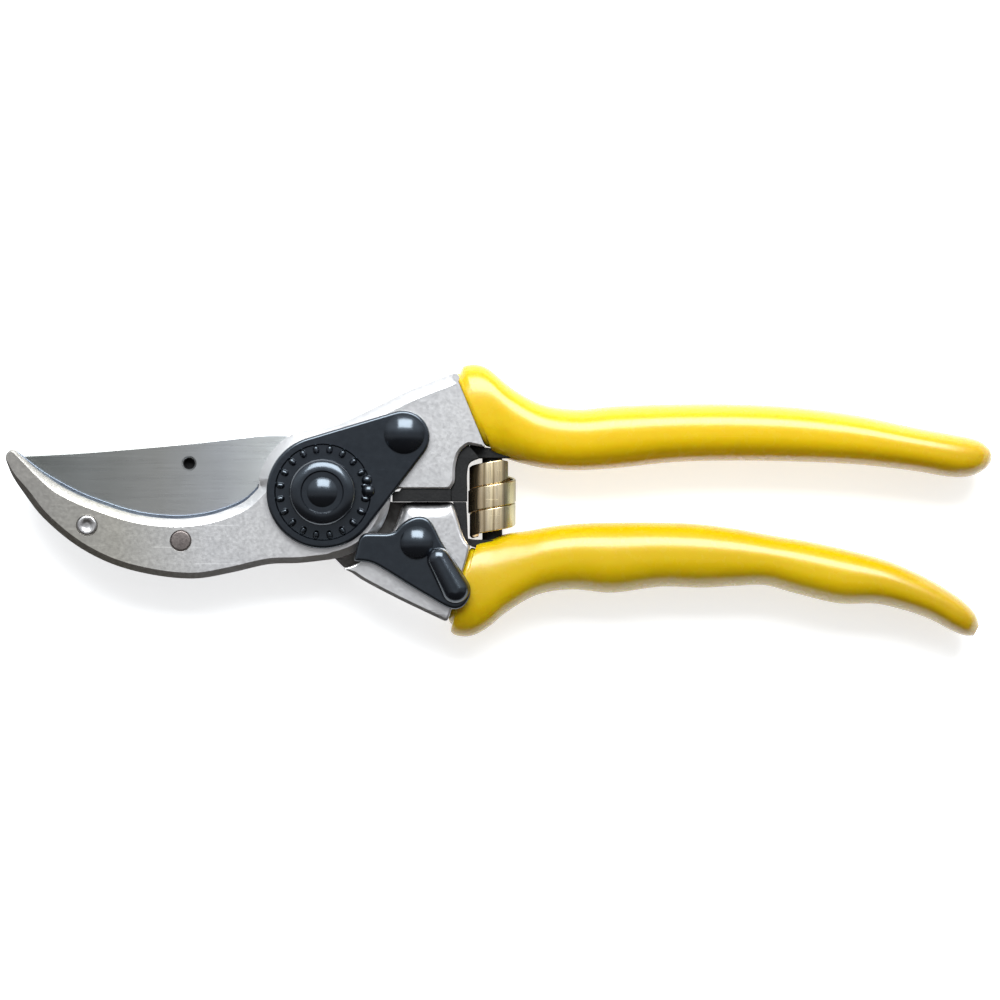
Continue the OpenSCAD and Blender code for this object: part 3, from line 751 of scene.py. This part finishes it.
def make_catch():
    solid = Solid()
    nose_arc = SEGMENT_R + 0.3
    low = angle_of((8.9, -8.9))
    outline, _ = trace([
        (back(spline(CATCH_UPPER[1:])), 0.8),
        ([(8.95, -8.9)], 0.8),
        (arc(nose_arc, low, low - 6, 4), 0.8),
        ([(6.7, -14.9)], 0.8),
        (back(spline(CATCH_LOWER)), 0.8)], spacing=0.4)
    solid.plate(outline, CATCH_FOOT, CATCH_TOP, top=[0.75] * len(outline),
                holes=[(CATCH_AT, 2.05, 0.1, 0.1)])
    (ax, ay), ar, (bx, by), br = RIDGE
    heading = math.atan2(by - ay, bx - ax)
    rings = []
    for i in range(9):
        lift = math.radians(90 * i / 9)
        ring = []
        for k in range(48):
            a = 2 * math.pi * k / 48
            far = math.cos(a - heading) > 0
            r = (br if far else ar) * math.cos(lift)
            x, y = (bx, by) if far else (ax, ay)
            h = (br if far else ar) * RIDGE_RISE * math.sin(lift)
            ring.append((x + r * math.cos(a), y + r * math.sin(a), CATCH_TOP + h))
        rings.append(ring)
    rings.insert(0, [(x, y, CATCH_FOOT + 0.3) for x, y, _ in rings[0]])
    solid.rings(rings)
    return place(solid.build("thumb_catch_lever"), BLACK, CATCH, ["thumb_catch"])


def make_catch_rivet():
    solid = Solid()
    solid.lathe(dome_profile(3.6, CATCH_TOP + 0.05, 1.7, 0.3, 14), CATCH_AT, 64)
    solid.lathe([(0, MID), (2.0, MID), (2.0, CATCH_TOP + 0.1), (0, CATCH_TOP + 0.1)], CATCH_AT, 48)
    return place(solid.build("catch_rivet_head"), BLACK, LOWER, ["catch_rivet"])


# ---- Spring, its seats and the cushion ----

def make_cushion():
    solid = Solid()
    outline, _ = trace([([(15.05, -2.07), (27.85, -2.07), (27.85, 0.85), (17, 0.85), (16.6, 0.2),
                          (15.05, 0.1)], 0.2)], spacing=0.2, soften=1)
    solid.plate(outline, SEAT_LOW, 14.6, top=[0.2] * len(outline), foot=[0.2] * len(outline))
    return place(solid.build("cushion_block"), RUBBER, UPPER, ["cushion"])


def make_seats():
    """Each seat is a lining behind the spring, a lower ledge under the grip's lip and a stud."""
    upper = Solid()
    lining = [([(31.3, -2.06), (31.3, 0.8)], 0.4),
              (spline([(31.3, 0.8), (31.3, 4.2), (31.9, 6.4), (34, SPRING_TOP)]), 0.4),
              (spline(UPPER_RECESS), 0.4),
              ([(27.8, -2.06)], 0.4)]
    ledge = [([(33, SPRING_TOP), (40.8, SPRING_TOP), (40.8, 9), (35.3, 9.8), (31.9, 10.4),
               (31.7, 8.4)], 0.4)]
    seat_plates(upper, lining, ledge)
    stud(upper, SPRING_TOP + 0.2, SPRING_TOP - 3.4)
    place(upper.build("upper_spring_seat_moulding"), RUBBER, UPPER, ["upper_spring_seat"])
    lower = Solid()
    lining = [(spline(LOWER_RECESS), 0.4),
              (spline([(31.5, SPRING_BOTTOM), (31.4, -8.8), (31.3, -6), (31.1, -2.1)]), 0.4)]
    ledge = [([(31.1, -10.1), (32.1, -11.8), (34.2, -12.4), (40.8, -12), (40.8, SPRING_BOTTOM),
               (33, SPRING_BOTTOM)], 0.4)]
    seat_plates(lower, lining, ledge)
    stud(lower, SPRING_BOTTOM - 0.2, SPRING_BOTTOM + 3.4)
    place(lower.build("lower_spring_seat_moulding"), RUBBER, LOWER, ["lower_spring_seat"])


def seat_plates(solid, lining, ledge):
    for parts, high in ((lining, 14), (ledge, 11.5)):
        outline, _ = trace(parts, spacing=0.2, soften=1)
        solid.plate(outline, SEAT_LOW, high, top=[0.25] * len(outline), foot=[0.25] * len(outline))


def stud(solid, start, end):
    """A round peg along Y that the spring's end turn sits on."""
    rings = []
    chamfer = math.copysign(0.4, start - end)
    for y, r in ((start, 2.2), (end + chamfer, 2.2), (end, 1.8)):
        rings.append([(SPRING_X + r * math.cos(a), y, MID + r * math.sin(a))
                      for a in (2 * math.pi * k / 32 for k in range(32))])
    solid.rings(rings)


def make_spring():
    """A strip wound outward to the spring's middle and inward again, with eased edges."""
    turns, start, steps = 2.5, 45, 200
    wide, end_r, strip_w, strip_t = 5.3, 4.9, 5.0, 0.7
    half, ease = strip_w / 2, 0.22
    section = [(0, half - ease), (-ease, half), (ease - strip_t, half), (-strip_t, half - ease),
               (-strip_t, ease - half), (ease - strip_t, -half), (-ease, -half), (0, ease - half)]
    rings = []
    for k in range(steps + 1):
        t = k / steps
        a = math.radians(start + 360 * turns * t)
        r = wide - (wide - end_r) * abs(2 * t - 1)
        y = SPRING_TOP - half - t * (SPRING_TOP - SPRING_BOTTOM - strip_w)
        narrow = min(1, 0.75 + 10 * min(t, 1 - t))
        rings.append([(SPRING_X + (r + dr) * math.cos(a), y + dy * narrow, MID + (r + dr) * math.sin(a))
                      for dr, dy in section])
    solid = Solid()
    solid.rings(rings)
    spring = solid.build("volute_spring", sharp=50)
    ends = (LOWER, (SPRING_X * MM, SPRING_TOP * MM, MID * MM), (SPRING_X * MM, SPRING_BOTTOM * MM, MID * MM))
    return place(spring, PLATED, UPPER, ["spring"], sides=ends)


# ---- Grips ----

def power(value, exponent):
    return math.copysign(abs(value) ** exponent, value)


def grip_ring(outer, inner, half, sides=72, ease=0.0):
    """One section of a grip, drawn in by the ease given."""
    outer, inner = Vector(outer), Vector(inner)
    middle, across = (outer + inner) / 2, (outer - inner) / 2
    wide = across.length
    across = across.normalized()
    ring = []
    for k in range(sides):
        a = 2 * math.pi * (k + 0.5) / sides
        u = power(math.cos(a), 2 / SQUARENESS) * (wide - ease)
        v = power(math.sin(a), 2 / SQUARENESS) * (half - ease)
        ring.append((middle.x + across.x * u, middle.y + across.y * u, MID + v))
    return ring


def make_grip(name, stations, node, body, material):
    solid = Solid()
    outer = spline([s[0] for s in stations], 8)
    inner = spline([s[1] for s in stations], 8)
    half = [h[0] for h in spline([(s[2],) for s in stations], 8)]
    rings = [grip_ring(o, i, h) for o, i, h in zip(outer, inner, half)]
    lip, steps = 1.1, 5
    ahead = ((Vector(outer[3]) + Vector(inner[3])) - (Vector(outer[0]) + Vector(inner[0]))).normalized()
    front = []
    for k in range(steps + 1):
        a = math.pi / 2 * k / steps
        ring = grip_ring(outer[0], inner[0], half[0], ease=lip * (1 - math.sin(a)))
        forward = ahead * lip * (1 - math.cos(a))
        front.append([(x + forward.x, y + forward.y, z) for x, y, z in ring])
    solid.rings(front + rings[6:])
    return place(solid.build(name), material, body, [node])


# ---- Pieces that keep their CAD mesh ----

def finish_cad_nodes():
    for node, material in (("blade_pin", BRIGHT), ("catch_washer", BRIGHT)):
        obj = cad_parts[node]
        obj.data.materials.clear()
        obj.data.materials.append(material)
        edges = obj.modifiers.new("eased_edges", "BEVEL")
        edges.width = 0.1 * MM
        edges.segments = 2


# ---- Room ----

def make_floor():
    solid = Solid()
    reach = 1600
    solid.rings([[(x * reach, y * reach, z) for x, y in ((-1, -1), (1, -1), (1, 1), (-1, 1))]
                 for z in (-12, -0.02)])
    floor = solid.build("floor")
    material = surface("pale_floor", (0.60, 0.60, 0.60), (0.62, 0.62, 0.62), (0.6, 0.7), 0.0,
                       grain=(300, 300, 300), grain_bump=0.01, patch=4,
                       fixed={"Emission Color": (1, 1, 1, 1), "Emission Strength": 0.68})
    floor.data.materials.append(material)


def make_light(name, place_at, aim, size, energy, colour=(1, 1, 1)):
    light = bpy.data.lights.new(name, "AREA")
    light.shape = "RECTANGLE"
    light.size, light.size_y = size
    light.energy = energy
    light.color = colour
    obj = bpy.data.objects.new(name, light)
    obj.location = place_at
    obj.rotation_euler = (Vector(aim) - Vector(place_at)).to_track_quat("-Z", "Y").to_euler()
    bpy.context.scene.collection.objects.link(obj)


def make_world():
    """A bright side at +Y, a mid-grey ceiling and a dark side at -Y."""
    world = bpy.data.worlds.new("studio")
    bpy.context.scene.world = world
    world.use_nodes = True
    make = node_maker(world.node_tree.nodes, world.node_tree.links)
    direction = make("ShaderNodeTexCoord").outputs["Generated"]
    split = make("ShaderNodeSeparateXYZ", {"Vector": direction})
    side = make("ShaderNodeMapRange", {"Value": split.outputs["Y"], "From Min": -1.0, "From Max": 1.0})
    tones = ((0.0, (0.05, 0.045, 0.04)), (0.32, (0.07, 0.065, 0.06)), (0.44, (0.42, 0.42, 0.43)),
             (0.52, (0.36, 0.37, 0.39)), (0.68, (0.90, 0.95, 1.0)), (1.0, (0.90, 0.95, 1.0)))
    tone = colour_ramp(make, side.outputs["Result"], tones)
    lift = make("ShaderNodeMapRange", {"Value": split.outputs["Z"], "From Min": 0.05, "From Max": 0.5,
                                       "To Min": 0.4, "To Max": 1.0})
    shade = make("ShaderNodeMix", {"Factor": 1.0, "A": tone, "B": lift.outputs["Result"]},
                 data_type="RGBA", blend_type="MULTIPLY")
    background = world.node_tree.nodes["Background"]
    world.node_tree.links.new(shade.outputs["Result"], background.inputs["Color"])


def make_camera():
    """Square on above the shears, on a long lens that just holds their length."""
    middle = (cad_box[0][0] + cad_box[1][0]) / 2
    view_x, view_y = middle, -0.0017
    distance, across = 1.1, 0.2176
    camera = bpy.data.cameras.new("camera")
    camera.sensor_width = 36
    camera.lens = camera.sensor_width * distance / across
    obj = bpy.data.objects.new("camera", camera)
    obj.location = (view_x, view_y, FRONT * MM + distance)
    obj.rotation_euler = (0, 0, 0)
    bpy.context.scene.collection.objects.link(obj)
    bpy.context.scene.camera = obj


make_camera()
make_world()
make_light("key", (0.08, 0.82, 0.90), (0.04, 0, 0), (1.1, 0.75), 30, (0.95, 0.98, 1.0))
make_floor()
make_upper_frame()
make_lower_frame()
make_counter_blade()
make_cutting_blade()
make_rivets()
make_bolt()
make_nut()
make_segment()
make_segment_screw()
make_catch()
make_catch_rivet()
make_cushion()
make_seats()
make_spring()
make_grip("upper_grip_sleeve", UPPER_STATIONS, "upper_grip", UPPER, YELLOW)
make_grip("lower_grip_sleeve", LOWER_STATIONS, "lower_grip", LOWER, PAINTED_SHADE_YELLOW)
finish_cad_nodes()
bpy.context.scene.view_settings.view_transform = "Standard"
